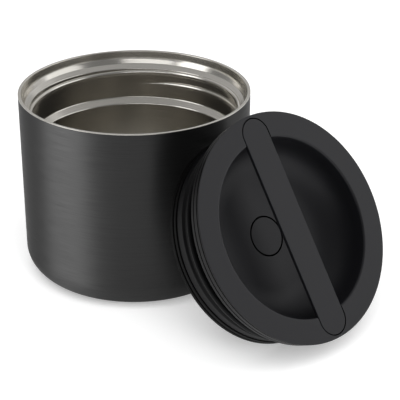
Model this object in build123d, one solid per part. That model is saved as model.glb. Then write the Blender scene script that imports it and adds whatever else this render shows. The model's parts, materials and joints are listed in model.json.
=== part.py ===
from build123d import *
from math import asin, cos, degrees, pi, radians, sin
import os

# Vacuum-insulated food jar, open, with its screw lid stood on edge against it.
#
# Millimetres, +Z up, origin at the centre of the jar's underside. The lid's pieces are
# drawn upright about the lid's own axis, with its top face at z = 0. The whole lid is
# then stood on the lower edge of its seal and leans back on the jar, towards +Y.

os.makedirs("parts", exist_ok=True)

# ---------------------------------------------------------------- jar
JAR_H = 96.3            # floor to the top of the lip
JAR_R = 58.5            # outside radius at the lip
DRAFT = 0.9             # how much narrower the wall is at the lower corner
CORNER_H = 13.9         # height of the rounded lower corner
CORNER_W = 15.4         # how far that corner runs in
SHEET = 0.8             # steel sheet
FOOT_W = 3.2            # flat of the shell that meets the floor
BASE_T = 1.0            # end disc welded into the shell
LIP_H = 0.8             # bare lip above the coated shell
LIP_W = 1.4
LIP_ROUND = 0.45
STEP_W = 2.7            # outside of the lip to the wall above the shoulder
STEP_H = 3.2            # lip to the top of the shoulder
SHOULDER_W = 2.4        # slope that the closed lid's flange lands on
SHOULDER_H = 2.8
SHOULDER_ROUND = 2.5
THROAT_W = 0.6          # soft foot of the shoulder, down to the threaded neck
THROAT_H = 2.5
LEDGE_W = 3.2           # slope that the closed lid's seal lands on
LEDGE_H = 2.66
BOWL_TAPER = 1.4        # how much narrower the bowl is at its lower corner
BOWL_CORNER = 12.0
BOWL_FLOOR = 9.5        # floor of the bowl above the table
FOIL_T = 0.3            # heat shield round the bowl
FOIL_MARGIN = 3.0       # bare bowl above and below it
PORT_R = 1.0            # evacuation hole and the dimple round it
DIMPLE_R = 3.2
DIMPLE_T = 0.5
GETTER_L = 26.0
GETTER_W = 7.0
GETTER_T = 1.2
GETTER_INSET = 15.0     # strip's middle in from the foot's edge

# ---------------------------------------------------------------- lid
LID_TILT = 57.4         # lid axis from the vertical, degrees
LEAN_GAP = 0.3          # air between the leaning lid and the jar
LID_INSET = 2.35        # jar's outside to the lid's rim
SEAT_PROUD = 2.4        # closed lid's top face above the lip
PLUG_GAP = 1.9          # neck wall to the seal's rim
TOP_T = 3.85            # rim of the top moulding
PARTING = 0.6           # open reveal between the two mouldings
PARTING_IN = 1.0
FLANGE_T = 6.6          # top face to the underside of the flange
FLANGE_ROUND = 0.6
RIM_DRAFT = 0.9         # how much narrower the rim is at the underside of the flange
RIM_EDGE = 0.2
GROOVE_AT = 1.1         # fine groove round the rim, below the top face
GROOVE_R = 0.35
WALL = 1.8              # moulded wall
SKIN = 0.5              # air between the dish's back and the foam
RING_W = 12.45          # flat ring round the dish
RING_ROUND = 1.0        # soft edge where the ring goes down into the dish
DISH_DEPTH = 20.9
DISH_SKIRT = 5.0        # straight part of the dish wall
DISH_RUN = 18.0         # how far the curved part runs in
VALVE_ROOM = 5.95       # under the dish floor, for the valve's button and spring
PLATE_T = 1.6           # bottom plate
PLATE_RECESS = 0.3      # plate above the seal's lower edge
SEAL_H = 4.55
SEAL_PROUD = 1.5        # seal beyond the threaded wall
SEAL_ROUND = 0.4
SEAL_NECK = 1.0         # groove between the seal's two lips
BAND_H = 4.0            # smooth band above the seal
BAND_PROUD = 1.0
PLUG_WALL = 2.0

BAR_W = 15.8            # bar inlaid across the top
BAR_INSET = 1.75        # end of the bar to the lid's rim
BAR_T = 2.4
BAR_TURN = 0.6          # bar off the line of lean, degrees
BAR_EDGE = 0.35
BAR_BELLY = 0.8
INLAY_GAP = 0.5
POST_R = 2.0            # pins that fix the bar in the ring
POST_FIT = 0.1

# ---------------------------------------------------------------- pressure-release valve
BUTTON_R = 9.3
BUTTON_GAP = 0.65       # open slot round the button
BUTTON_TRAVEL = 2.0
BUTTON_WALL = 1.3
BUTTON_EDGE = 0.15
STOP_GAP = 0.25         # left under the pressed button
STEM_R = 1.85
STEM_FIT = 0.3
STEM_END = 1.2
HUB_WALL = 1.5
GUIDE_WALL = 1.8
GUIDE_FLANGE = 1.2
GUIDE_FLANGE_T = 0.8
ORING_SEC = 0.5         # radius of the ring's section
ORING_GAP = 0.25
ORING_SHELF = 0.45      # under the button's head
VALVE_R = 6.5
VALVE_T = 1.4
RETAINER_W = 1.6
RETAINER_T = 0.8
SPRING_WIRE = 0.8
SPRING_SIDE = 0.7       # spring to the button's skirt
SPRING_TURNS = 2.5
WIRE_SIDES = 6


# ---------------------------------------------------------------- drawing helpers
def quarter(cx, cz, rx, rz):
    """Quarter ellipse about (cx, cz), from straight below its centre to straight out."""
    return EllipticalCenterArc((cx, cz), rx, rz, start_angle=270, arc_size=90).edge()


def outline(items):
    """Closed chain of edges through points and arcs, each arc entered at its nearer end."""
    edges = []
    here = Vector(*items[0][:2])
    for item in [*items[1:], items[0]]:
        if isinstance(item, tuple):
            start = end = Vector(*item[:2])
        else:
            start, end = sorted((item @ 0, item @ 1), key=lambda p: (p - here).length)
            edges.append(item)
        if (start - here).length > 1e-6:
            edges.append(Line(here, start).edge())
        here = end
    return edges


def turned(*items):
    """Solid of revolution about Z, from points (r, z), rounded points (r, z, radius) and arcs."""
    face = make_face(Curve() + outline(items))
    for corner in [i for i in items if isinstance(i, tuple) and len(i) == 3]:
        nearest = face.vertices().sort_by_distance((corner[0], corner[1], 0))[0]
        face = fillet(nearest, corner[2])
    return revolve(Plane.XZ * face, Axis.Z)


def disc(r, z0, z1, hole=0.0):
    """Flat disc between two heights, or a washer where it has a hole."""
    return turned((hole, z0), (r, z0), (r, z1), (hole, z1))


# ---------------------------------------------------------------- jar: shared levels
corner_r = JAR_R - DRAFT
corner_c = corner_r - CORNER_W
foot_r = corner_c - FOOT_W
shell_top = JAR_H - LIP_H
base_top = SHEET + BASE_T

step_r = JAR_R - STEP_W
shoulder_r = step_r - SHOULDER_W
neck_r = shoulder_r - THROAT_W
bowl_r = neck_r - LEDGE_W
bowl_r_low = bowl_r - BOWL_TAPER
bowl_c = bowl_r_low - BOWL_CORNER
bowl_corner_z = BOWL_FLOOR + BOWL_CORNER

seal_r = neck_r - PLUG_GAP
plug_depth = DISH_DEPTH + VALVE_ROOM + PLATE_T + PLATE_RECESS
seal_seat_z = JAR_H + SEAT_PROUD - plug_depth
ledge_slope = LEDGE_H / LEDGE_W
ledge_low = seal_seat_z - (seal_r - bowl_r) * ledge_slope
ledge_top = ledge_low + LEDGE_H


def shell_radius(z):
    """Outside radius of the shell's wall at a height above its lower corner."""
    return JAR_R - DRAFT * (JAR_H - z) / (JAR_H - CORNER_H)


# ---------------------------------------------------------------- jar pieces
def outer_shell():
    """Coated steel shell: tapered wall, rounded corner and turned-in foot."""
    top_r = shell_radius(shell_top)
    return turned(
        (foot_r, 0), quarter(corner_c, CORNER_H, CORNER_W, CORNER_H), (top_r, shell_top),
        (top_r - SHEET, shell_top), quarter(corner_c, CORNER_H, CORNER_W - SHEET, CORNER_H - SHEET),
        (foot_r, SHEET))


def inner_liner():
    """Steel bowl, seal ledge, neck, shoulder and lip in one drawing."""
    top_r = shell_radius(shell_top)
    back = SHEET * 0.4      # a sloping sheet's back turns this much lower than its face
    return turned(
        (0, BOWL_FLOOR), quarter(bowl_c, bowl_corner_z, BOWL_CORNER, BOWL_CORNER),
        (bowl_r, ledge_low), (neck_r, ledge_top),
        (neck_r, JAR_H - STEP_H - SHOULDER_H - THROAT_H),
        (shoulder_r, JAR_H - STEP_H - SHOULDER_H, SHOULDER_ROUND),
        (step_r, JAR_H - STEP_H), (JAR_R - LIP_W, JAR_H, LIP_ROUND), (JAR_R, JAR_H, LIP_ROUND),
        (JAR_R, shell_top), (top_r - SHEET, shell_top),
        (step_r + SHEET, JAR_H - STEP_H - back),
        (shoulder_r + SHEET, JAR_H - STEP_H - SHOULDER_H - back, SHOULDER_ROUND - SHEET),
        (neck_r + SHEET, JAR_H - STEP_H - SHOULDER_H - THROAT_H - back), (neck_r + SHEET, ledge_top - back),
        (bowl_r + SHEET, ledge_low - back),
        quarter(bowl_c, bowl_corner_z, BOWL_CORNER + SHEET, BOWL_CORNER + SHEET), (0, BOWL_FLOOR - SHEET))


def heat_shield():
    """Thin foil sleeve, wrapped tight round the bowl inside the vacuum."""
    low, high = bowl_corner_z + FOIL_MARGIN, ledge_low - SHEET * 0.4 - FOIL_MARGIN
    slope = BOWL_TAPER / (ledge_low - SHEET * 0.4 - bowl_corner_z)
    r_low = bowl_r_low + SHEET + (low - bowl_corner_z) * slope
    r_high = bowl_r_low + SHEET + (high - bowl_corner_z) * slope
    return turned((r_low, low), (r_low + FOIL_T, low), (r_high + FOIL_T, high), (r_high, high))


def outer_base():
    """End disc of the shell, with the evacuation hole and its dimple."""
    rim = corner_c - SHEET / 2
    return turned(
        (DIMPLE_R, SHEET), (rim, SHEET), (rim, base_top), (PORT_R, base_top),
        (PORT_R, SHEET + DIMPLE_T), (DIMPLE_R, SHEET + DIMPLE_T))


def vacuum_seal():
    """Solder bead that fills the dimple and the evacuation hole."""
    return turned(
        (0, SHEET), (DIMPLE_R, SHEET), (DIMPLE_R, SHEET + DIMPLE_T), (PORT_R, SHEET + DIMPLE_T),
        (PORT_R, base_top), (0, base_top))


def base_cap():
    """Plain disc that covers the bead, flush with the foot."""
    return disc(foot_r - INLAY_GAP, 0, SHEET)


def getter():
    """Getter strip on the end disc, inside the vacuum."""
    return Pos(0, foot_r - GETTER_INSET, base_top + GETTER_T / 2) * Box(GETTER_L, GETTER_W, GETTER_T)


# ---------------------------------------------------------------- lid: shared levels
lid_r = JAR_R - LID_INSET
ring_r = lid_r - RING_W
dish_c = ring_r - DISH_RUN
boss_r = BUTTON_R + BUTTON_GAP
under = -FLANGE_T
plate_low = -(plug_depth - PLATE_RECESS)
plate_top = plate_low + PLATE_T
root_r = seal_r - SEAL_PROUD
seal_in = root_r - SEAL_NECK
seal_top = -(plug_depth - SEAL_H)
plate_r = seal_in + SEAL_NECK * 0.7
inner_r = ring_r + WALL + INLAY_GAP
cavity_r = root_r - PLUG_WALL
cavity_top = under + SKIN


def rim_radius(depth):
    """Outside radius of the lid's drafted rim at a depth below its top face."""
    return lid_r - RIM_DRAFT * depth / FLANGE_T


def bar_slab(length, width, z0, z1):
    """Round-ended slab that lies along the bar."""
    return extrude(Pos(0, 0, z0) * Rot(0, 0, 90 + BAR_TURN) * SlotOverall(length, width), z1 - z0)


def bar_posts(radius):
    """The two pins that go down into the ring, one at each end of the bar."""
    reach = (ring_r + lid_r) / 2
    pins = PolarLocations(reach, 2, start_angle=90 + BAR_TURN)
    return Pos(0, 0, -(TOP_T + BAR_T) / 2) * pins * Cylinder(radius, TOP_T - BAR_T)


# ---------------------------------------------------------------- lid pieces, drawn upright
def lid_top():
    """Top moulding: ring, deep dish and the boss that the button slides in."""
    groove_top, groove_low = GROOVE_AT - GROOVE_R, GROOVE_AT + GROOVE_R
    top = turned(
        (boss_r, -DISH_DEPTH), quarter(dish_c, -DISH_SKIRT, DISH_RUN, DISH_DEPTH - DISH_SKIRT),
        (ring_r, 0, RING_ROUND), (lid_r, 0, RIM_EDGE), (rim_radius(groove_top), -groove_top),
        (rim_radius(GROOVE_AT) - GROOVE_R, -GROOVE_AT), (rim_radius(groove_low), -groove_low),
        (rim_radius(TOP_T), -TOP_T), (ring_r + WALL, -TOP_T),
        quarter(dish_c, -TOP_T, DISH_RUN + WALL, DISH_DEPTH + WALL - TOP_T),
        (boss_r + WALL, -DISH_DEPTH - WALL), (boss_r + WALL, plate_top), (boss_r, plate_top))
    pocket = bar_slab(2 * (lid_r - BAR_INSET + INLAY_GAP), BAR_W + 2 * INLAY_GAP, -BAR_T, TOP_T)
    return top - pocket - bar_posts(POST_R + POST_FIT)


def handle_bar():
    """Bar inlaid across the ring, free over the dish, to grip the lid by."""
    bar = bar_slab(2 * (lid_r - BAR_INSET), BAR_W, -BAR_T, 0)
    bar = chamfer(bar.faces().sort_by(Axis.Z)[-1].edges(), BAR_EDGE)
    bar = chamfer(bar.faces().sort_by(Axis.Z)[0].edges(), BAR_BELLY)
    return bar + bar_posts(POST_R)


def lid_plug():
    """Lower moulding: flange, threaded wall, smooth band and the seat of the seal."""
    reveal_r = rim_radius(TOP_T) - PARTING_IN
    return turned(
        (inner_r, -TOP_T), (reveal_r, -TOP_T), (reveal_r, -TOP_T - PARTING),
        (rim_radius(TOP_T + PARTING), -TOP_T - PARTING), (rim_radius(FLANGE_T), under, FLANGE_ROUND),
        (root_r, under),
        (root_r, seal_top + BAND_H + BAND_PROUD / 2), (root_r + BAND_PROUD, seal_top + BAND_H),
        (root_r + BAND_PROUD, seal_top), (seal_in, seal_top), (seal_in, plate_top),
        (cavity_r, plate_top), (cavity_r, cavity_top), (inner_r, cavity_top))


def lid_gasket():
    """Soft seal with two lips, stretched over the foot of the plug."""
    middle = (seal_top - plug_depth) / 2
    return turned(
        (seal_in, seal_top), (seal_r, seal_top, SEAL_ROUND), (seal_r, middle + SEAL_NECK / 2),
        (seal_r - SEAL_NECK, middle), (seal_r, middle - SEAL_NECK / 2), (seal_r, -plug_depth, SEAL_ROUND),
        (plate_r, -plug_depth), (plate_r, plate_top), (seal_in, plate_top))


def lid_base():
    """Bottom plate that closes the foam, with the hole for the valve's guide."""
    return disc(plate_r, plate_low, plate_top, STEM_R + STEM_FIT + GUIDE_WALL)


def lid_foam():
    """Foam between the dish and the plug, clear of the dish's back."""
    run = DISH_RUN + WALL + SKIN
    drop = DISH_DEPTH + WALL + SKIN - TOP_T
    cut = asin((-TOP_T - cavity_top) / drop)
    turn = 90 - degrees(cut)
    back = EllipticalCenterArc((dish_c, -TOP_T), run, drop, start_angle=270, arc_size=turn).edge()
    return turned(
        (boss_r + WALL, -TOP_T - drop), back, (dish_c + run * cos(cut), cavity_top), (cavity_r, cavity_top),
        (cavity_r, plate_top), (boss_r + WALL, plate_top))


# ---------------------------------------------------------------- valve pieces, drawn upright
head_low = -DISH_DEPTH - WALL
guide_top = plate_top + GUIDE_FLANGE_T
valve_low = plate_low - VALVE_T
oring_z = head_low - ORING_SHELF - ORING_SEC
oring_r = boss_r - ORING_GAP - ORING_SEC


def vent_button():
    """Round button, hollow below, with the O-ring's groove and the stem's socket."""
    skirt_low = plate_top + BUTTON_TRAVEL + STOP_GAP
    skirt_in = BUTTON_R - BUTTON_WALL
    groove_in = oring_r - ORING_SEC
    hub_r = STEM_R + HUB_WALL
    hub_low = guide_top + BUTTON_TRAVEL + STOP_GAP
    return turned(
        (0, -DISH_DEPTH), (BUTTON_R, -DISH_DEPTH, BUTTON_EDGE), (BUTTON_R, oring_z + ORING_SEC),
        (groove_in, oring_z + ORING_SEC), (groove_in, oring_z - ORING_SEC), (BUTTON_R, oring_z - ORING_SEC),
        (BUTTON_R, skirt_low), (skirt_in, skirt_low), (skirt_in, head_low), (hub_r, head_low),
        (hub_r, hub_low), (STEM_R, hub_low), (STEM_R, head_low), (0, head_low))


def vent_oring():
    """Ring that keeps crumbs out of the boss."""
    return Pos(0, 0, oring_z) * Torus(oring_r, ORING_SEC)


def vent_stem():
    """Stem from the button's socket down through the guide."""
    return disc(STEM_R, valve_low - STEM_END, head_low)


def vent_seal():
    """Soft disc that the spring holds up against the plate."""
    bevel = VALVE_T / 2
    return turned(
        (STEM_R, plate_low), (VALVE_R, plate_low), (VALVE_R, plate_low - bevel),
        (VALVE_R - VALVE_T, valve_low), (STEM_R, valve_low))


def vent_retainer():
    """Washer pressed on the stem under the soft disc."""
    return disc(STEM_R + RETAINER_W, valve_low - RETAINER_T, valve_low, STEM_R)


def vent_guide():
    """Flanged bush in the plate that the stem slides in."""
    bore = STEM_R + STEM_FIT
    outside = bore + GUIDE_WALL
    return turned(
        (bore, plate_low), (outside, plate_low), (outside, plate_top), (outside + GUIDE_FLANGE, plate_top),
        (outside + GUIDE_FLANGE, guide_top), (bore, guide_top))


def vent_spring():
    """Coil spring between the plate and the button's head."""
    radius = BUTTON_R - BUTTON_WALL - SPRING_SIDE - SPRING_WIRE / 2
    rise = head_low - plate_top - SPRING_WIRE
    path = Helix(pitch=rise / SPRING_TURNS, height=rise, radius=radius)
    across = Plane(origin=path @ 0, z_dir=path % 0, x_dir=(1, 0, 0))
    section = across * RegularPolygon(SPRING_WIRE / 2, WIRE_SIDES)
    return Pos(0, 0, plate_top + SPRING_WIRE / 2) * sweep(section, path, is_frenet=True)


# ---------------------------------------------------------------- how the lid stands
def lean():
    """Place of the lid: its seal's edge on the floor and, higher up, just clear of the jar."""
    tilt = radians(LID_TILT)
    seal_edge = [(seal_r, plug_depth - SEAL_ROUND), (seal_r - SEAL_ROUND, plug_depth)]
    edges = [*seal_edge, (lid_r, RIM_EDGE), (rim_radius(FLANGE_T), FLANGE_T - FLANGE_ROUND)]
    centre_z = max(r * sin(tilt) + depth * cos(tilt) for r, depth in edges)
    touch_z = centre_z + seal_r * sin(tilt) - plug_depth * cos(tilt)
    reach = max(r * cos(tilt) + depth * sin(tilt) for r, depth in edges)
    centre_y = -(shell_radius(touch_z) + LEAN_GAP + reach)
    return Location((0, centre_y, centre_z), (LID_TILT, 0, 0))


JAR_PIECES = [outer_shell, inner_liner, heat_shield, outer_base, vacuum_seal, base_cap, getter]
LID_PIECES = [lid_top, handle_bar, lid_plug, lid_gasket, lid_base, lid_foam]
VALVE_PIECES = [vent_button, vent_oring, vent_stem, vent_seal, vent_retainer, vent_guide, vent_spring]

stand = lean()
built = {piece.__name__: piece() for piece in JAR_PIECES}
for piece in LID_PIECES + VALVE_PIECES:
    built[piece.__name__] = stand * piece()

for name, solid in built.items():
    solid.label = name
    export_step(solid, f"parts/{name}.step")
    size = solid.bounding_box().size
    print(f"{name:14s} {solid.volume:9.1f} mm3 {size.X:7.2f} {size.Y:7.2f} {size.Z:7.2f}")

litres = pi * (bowl_r ** 2 + bowl_r * bowl_r_low + bowl_r_low ** 2) / 3 * (ledge_low - BOWL_FLOOR) / 1e6
print(f"bowl under the seal ledge {litres:.3f} l; lid at y {stand.position.Y:.2f} z {stand.position.Z:.2f}")
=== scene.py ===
"""Finishes, studio and view of a vacuum-insulated food jar with its screw lid off.

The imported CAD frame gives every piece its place. The pieces that the eye meets first are
turned again here with fine soft edges, the rolled and moulded screw threads are added, and
every piece gets the finish of the material that it is made of.
"""
from __future__ import annotations

import json
import logging
import math
from abc import ABC, abstractmethod
from dataclasses import dataclass, field
from enum import Enum

import bmesh
import bpy
from bpy.types import Material, Mesh, Node, NodeSocket, NodeTree, Object, World
from mathutils import Matrix, Vector

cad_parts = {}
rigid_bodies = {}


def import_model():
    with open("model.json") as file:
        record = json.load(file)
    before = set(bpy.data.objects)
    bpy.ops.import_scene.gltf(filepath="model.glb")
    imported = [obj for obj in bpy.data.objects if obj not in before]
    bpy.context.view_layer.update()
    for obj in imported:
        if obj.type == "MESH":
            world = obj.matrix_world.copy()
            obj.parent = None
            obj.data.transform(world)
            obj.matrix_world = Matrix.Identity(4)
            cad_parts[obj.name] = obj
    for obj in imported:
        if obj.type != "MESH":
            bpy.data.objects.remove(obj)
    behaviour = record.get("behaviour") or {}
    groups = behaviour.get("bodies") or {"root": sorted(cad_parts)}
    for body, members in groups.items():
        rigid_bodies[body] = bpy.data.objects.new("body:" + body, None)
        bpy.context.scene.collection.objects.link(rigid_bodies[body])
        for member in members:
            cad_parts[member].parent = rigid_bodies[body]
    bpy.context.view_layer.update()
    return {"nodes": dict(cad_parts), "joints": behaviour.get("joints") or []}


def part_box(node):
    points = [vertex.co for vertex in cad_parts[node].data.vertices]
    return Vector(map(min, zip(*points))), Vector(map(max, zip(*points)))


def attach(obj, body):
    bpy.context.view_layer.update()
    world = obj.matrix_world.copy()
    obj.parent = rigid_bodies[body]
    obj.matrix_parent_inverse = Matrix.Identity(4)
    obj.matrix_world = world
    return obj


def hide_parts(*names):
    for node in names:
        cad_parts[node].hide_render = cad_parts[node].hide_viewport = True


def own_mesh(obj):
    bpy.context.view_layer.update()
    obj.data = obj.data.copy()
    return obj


LOG = logging.getLogger("food_jar")
MM = 0.001
ON_AXIS = 1e-6  # a smaller radius lies on the axis, in millimetres
WELD = 1e-7  # vertices closer than this are one, in metres
CREASE = 32.0  # edges sharper than this stay sharp, in degrees
UPRIGHT = 0.9  # a face whose normal rises less than this is upright
SLACK = 0.1  # how far past a wall its faces are looked for, in millimetres
SHADE_START_DEPTH = 0.02  # how far below a gap's edge its painted black shade starts, in millimetres
COLOUR_SPREAD = 0.22  # how far from the noise's middle a brushed line has its full colour
GLOSS_SPREAD = 0.2  # how far from the noise's middle a brushed line has its full gloss
Point = tuple[float, float]


class Body(Enum):
    """The rigid bodies that pieces ride on."""

    JAR = "jar"
    LID = "lid"
    VALVE = "vent_valve"


# --- node trees
def feed(tree: NodeTree, node: Node, inputs: dict) -> None:
    """Set or link inputs of a node.

    Args:
        tree: The node tree that holds the node.
        node: The node.
        inputs: Input name or number to a value, or to the output or the node to link from. A
            node links from its first output in use.
    """
    for name, value in inputs.items():
        if isinstance(value, Node):
            value = next(output for output in value.outputs if output.enabled)
        if isinstance(value, NodeSocket):
            tree.links.new(value, node.inputs[name])
        else:
            node.inputs[name].default_value = value


def add_node(
    tree: NodeTree, kind: str, inputs: dict | None = None, **settings: object
) -> Node:
    """Add one node with its settings, values and links.

    Args:
        tree: The node tree that gets the node.
        kind: Blender's identifier of the node.
        inputs: What its inputs get, as for feed.
        **settings: Attributes of the node itself.

    Returns:
        The new node.
    """
    node = tree.nodes.new(kind)
    for name, value in settings.items():
        setattr(node, name, value)
    feed(tree, node, inputs or {})
    return node


def blank_tree(owner: Material | World) -> NodeTree:
    """Empty the node tree of a material or a world.

    Args:
        owner: The material or world.

    Returns:
        Its node tree, without nodes.
    """
    owner.use_nodes = True
    owner.node_tree.nodes.clear()
    return owner.node_tree


def linear(code: str) -> tuple[float, float, float, float]:
    """Turn an sRGB hex colour into linear light.

    Args:
        code: The colour, such as "3b3b3d".

    Returns:
        Linear red, green, blue and alpha.
    """
    channels = [int(code[i : i + 2], 16) / 255 for i in (0, 2, 4)]
    red, green, blue = (c / 12.92 if c <= 0.04045 else ((c + 0.055) / 1.055) ** 2.4 for c in channels)
    return (red, green, blue, 1.0)


# --- finishes
@dataclass(frozen=True)
class Finish(ABC):
    """What one piece's surface is made of and how it was made.

    Attributes:
        name: The finish's name, which the material gets.
        slot: The record's material slot that it belongs to; not used.
        colour: Base colour as an sRGB hex code.
        roughness: Roughness of the shader.
    """

    name: str
    slot: str
    colour: str
    roughness: float

    def build(self) -> Material:
        """Make the material, unless it was already made.

        Returns:
            The material.
        """
        if self.name in bpy.data.materials:
            return bpy.data.materials[self.name]
        material = bpy.data.materials.new(self.name)
        tree = blank_tree(material)
        shader = add_node(
            tree, "ShaderNodeBsdfPrincipled", {
                "Base Color": linear(self.colour), "Roughness": self.roughness,
            }
        )
        add_node(tree, "ShaderNodeOutputMaterial", {"Surface": shader})
        self.dress(tree, shader)
        return material

    @abstractmethod
    def dress(self, tree: NodeTree, shader: Node) -> None:
        """Add the finish's own pattern to the tree.

        Args:
            tree: The material's node tree.
            shader: Its principled shader.
        """


@dataclass(frozen=True)
class BrushedMetal(Finish):
    """Metal with fine lines round its axis, bare or under a thin coat.

    Attributes:
        other: Second colour, of the paler lines.
        line: Height of one line in millimetres.
        run: How far a line goes round before it fades, in millimetres.
        metallic: 1 for bare metal, less where a coat covers it.
        relief: Depth of the lines in millimetres.
        sway: How much the roughness differs from line to line.
        anisotropy: How far highlights spread across the lines.
        edge: How much of the glancing shine is left, 1 for bare metal and less under a coat.
    """

    other: str = "808080"
    line: float = 0.4
    run: float = 40.0
    metallic: float = 1.0
    relief: float = 0.004
    sway: float = 0.05
    anisotropy: float = 0.6
    edge: float = 1.0

    def dress(self, tree: NodeTree, shader: Node) -> None:
        """Draw long thin lines round the axis, in colour, roughness and relief.

        Args:
            tree: The material's node tree.
            shader: Its principled shader.
        """
        along, across = 1 / (self.run * MM), 1 / (self.line * MM)
        place = add_node(tree, "ShaderNodeTexCoord")
        stretched = add_node(
            tree, "ShaderNodeMapping", {
                "Vector": place.outputs["Object"], "Scale": (along, along, across),
            }
        )
        lines = add_node(
            tree, "ShaderNodeTexNoise", {
                "Vector": stretched, "Scale": 1.0, "Detail": 3.0, "Roughness": 0.6,
            }
        )
        spread = add_node(
            tree, "ShaderNodeMapRange", {
                "Value": lines, "From Min": 0.5 - COLOUR_SPREAD, "From Max": 0.5 + COLOUR_SPREAD,
            }
        )
        colour = add_node(
            tree, "ShaderNodeMix", {
                "Factor": spread, "A": linear(self.colour), "B": linear(self.other),
            }, data_type="RGBA"
        )
        gloss = add_node(
            tree, "ShaderNodeMapRange", {
                "Value": lines, "From Min": 0.5 - GLOSS_SPREAD, "From Max": 0.5 + GLOSS_SPREAD,
                "To Min": self.roughness - self.sway, "To Max": self.roughness + self.sway,
            }
        )
        bump = add_node(
            tree, "ShaderNodeBump", {"Height": lines, "Strength": 1.0, "Distance": self.relief * MM}
        )
        tangent = add_node(tree, "ShaderNodeTangent", direction_type="RADIAL", axis="Z")
        feed(tree, shader, {
            "Base Color": colour,
            "Metallic": self.metallic,
            "Roughness": gloss,
            "Specular Tint": (self.edge, self.edge, self.edge, 1.0),
            "Anisotropic": self.anisotropy,
            "Anisotropic Rotation": 0.25,
            "Normal": bump,
            "Tangent": tangent,
        })


@dataclass(frozen=True)
class Moulded(Finish):
    """Plastic or rubber out of a mould, with the mould's fine even grain.

    Attributes:
        grain: Width of one grain in millimetres.
        relief: Depth of the grain in millimetres.
        mottle: How much the colour drifts over the piece.
        ior: Index of refraction.
        shine: Specular level, below 0.5 where a deep texture swallows the light, and low also where the
            finish is painted shade.
    """

    grain: float = 0.35
    relief: float = 0.006
    mottle: float = 0.06
    ior: float = 1.49
    shine: float = 0.5

    def dress(self, tree: NodeTree, shader: Node) -> None:
        """Add the grain as relief and a slow, slight drift of the colour.

        Args:
            tree: The material's node tree.
            shader: Its principled shader.
        """
        place = add_node(tree, "ShaderNodeTexCoord").outputs["Object"]
        grains = add_node(
            tree, "ShaderNodeTexNoise", {"Vector": place, "Scale": 1 / (self.grain * MM), "Detail": 2.0}
        )
        drift = add_node(tree, "ShaderNodeTexNoise", {"Vector": place, "Scale": 35.0, "Detail": 2.0})
        shade = add_node(
            tree, "ShaderNodeMapRange", {
                "Value": drift, "To Min": 1 - self.mottle, "To Max": 1 + self.mottle,
            }
        )
        colour = add_node(
            tree, "ShaderNodeVectorMath", {
                0: linear(self.colour)[:3], "Scale": shade,
            }, operation="SCALE"
        )
        bump = add_node(
            tree, "ShaderNodeBump", {"Height": grains, "Strength": 1.0, "Distance": self.relief * MM}
        )
        feed(tree, shader, {
            "Base Color": colour,
            "IOR": self.ior,
            "Specular IOR Level": self.shine,
            "Normal": bump,
        })


@dataclass(frozen=True)
class Porous(Finish):
    """Rigid foam, with its open cells as relief and as colour, darker in their hollows as painted shade.

    Attributes:
        cell: Width of one cell in millimetres.
        relief: Depth of a cell in millimetres.
        deep: Colour in the depth of a cell, as an sRGB hex code, a painted shade.
    """

    cell: float = 0.9
    relief: float = 0.1
    deep: str = "8a7f5c"

    def dress(self, tree: NodeTree, shader: Node) -> None:
        """Draw round cells, darker where they are deep as painted shade.

        Args:
            tree: The material's node tree.
            shader: Its principled shader.
        """
        place = add_node(tree, "ShaderNodeTexCoord")
        cells = add_node(
            tree, "ShaderNodeTexVoronoi", {
                "Vector": place.outputs["Object"], "Scale": 1 / (self.cell * MM),
            }
        )
        ramp = add_node(
            tree, "ShaderNodeMix", {
                "Factor": cells, "A": linear(self.deep), "B": linear(self.colour),
            }, data_type="RGBA"
        )
        bump = add_node(tree, "ShaderNodeBump", {"Height": cells, "Distance": self.relief * MM})
        feed(tree, shader, {"Base Color": ramp, "Normal": bump})


# Drawn stainless steel under a dark grey coat: a wide soft highlight, fine lines just showing.
COATED_STEEL = BrushedMetal(
    "coated brushed steel", "coated_shell", "393939", 0.48, other="434343", line=0.5, run=18.0,
    relief=0.002, sway=0.06, anisotropy=0.85, edge=0.6,
)
# Bare stainless steel, spun and polished: bright and dark bands with slightly frayed edges.
SPUN_STEEL = BrushedMetal(
    "spun stainless steel", "bright_steel", "c9c6bf", 0.22, other="cfccc6", line=0.4, run=60.0,
    relief=0.0001, sway=0.02, anisotropy=0.35,
)
# Polypropylene from a spark-eroded mould: matte, with grey sheen where it faces a lamp.
CHARCOAL_LID = Moulded("charcoal polypropylene", "lid_plastic", "2a2a2e", 0.45, shine=0.33)
# The same plastic made near-black and less shiny as painted shade, for the moulding that goes into the
# jar and the side of the top moulding's rim.
SHADED_PLUG_PLASTIC = Moulded("polypropylene darkened as painted shade", "lid_plastic", "08080a", 0.5, shine=0.2)
# Pressed silicone rubber: deep black, a little glossier than the lid.
BLACK_SILICONE = Moulded(
    "black silicone rubber", "seal_rubber", "030303", 0.5, grain=0.2, relief=0.002, mottle=0.03,
    ior=1.41, shine=0.12,
)
# Matt black painted shade on the walls of the narrow gaps round the button and the bar and in the rim's
# parting groove, which show as black lines.
PAINTED_GAP_SHADE = Moulded(
    "matt black painted gap shade", "lid_plastic", "010101", 0.9, grain=0.2, relief=0.002, mottle=0.0,
    shine=0.05,
)
# Acetal bush: black and slightly waxy.
BLACK_ACETAL = Moulded(
    "black acetal", "guide_plastic", "101011", 0.4, grain=0.25, relief=0.002, ior=1.48,
)
# Drawn spring wire and turned pins.
SPRING_STEEL = BrushedMetal(
    "drawn spring steel", "stem_steel", "b4b2ad", 0.22, other="c6c4bf", line=0.15, run=3.0,
    relief=0.001, anisotropy=0.3,
)
# Kitchen-thin aluminium foil, wrapped by hand.
BRIGHT_FOIL = BrushedMetal(
    "aluminium foil", "foil", "dcdcdc", 0.12, other="ececec", line=3.0, run=6.0, relief=0.05,
    anisotropy=0.0,
)
# Solder that has run into its dimple and gone dull.
DULL_SOLDER = BrushedMetal(
    "dull solder", "solder", "8d8d90", 0.45, other="a5a5a8", line=1.2, run=1.2, relief=0.02,
    anisotropy=0.0,
)
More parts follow.
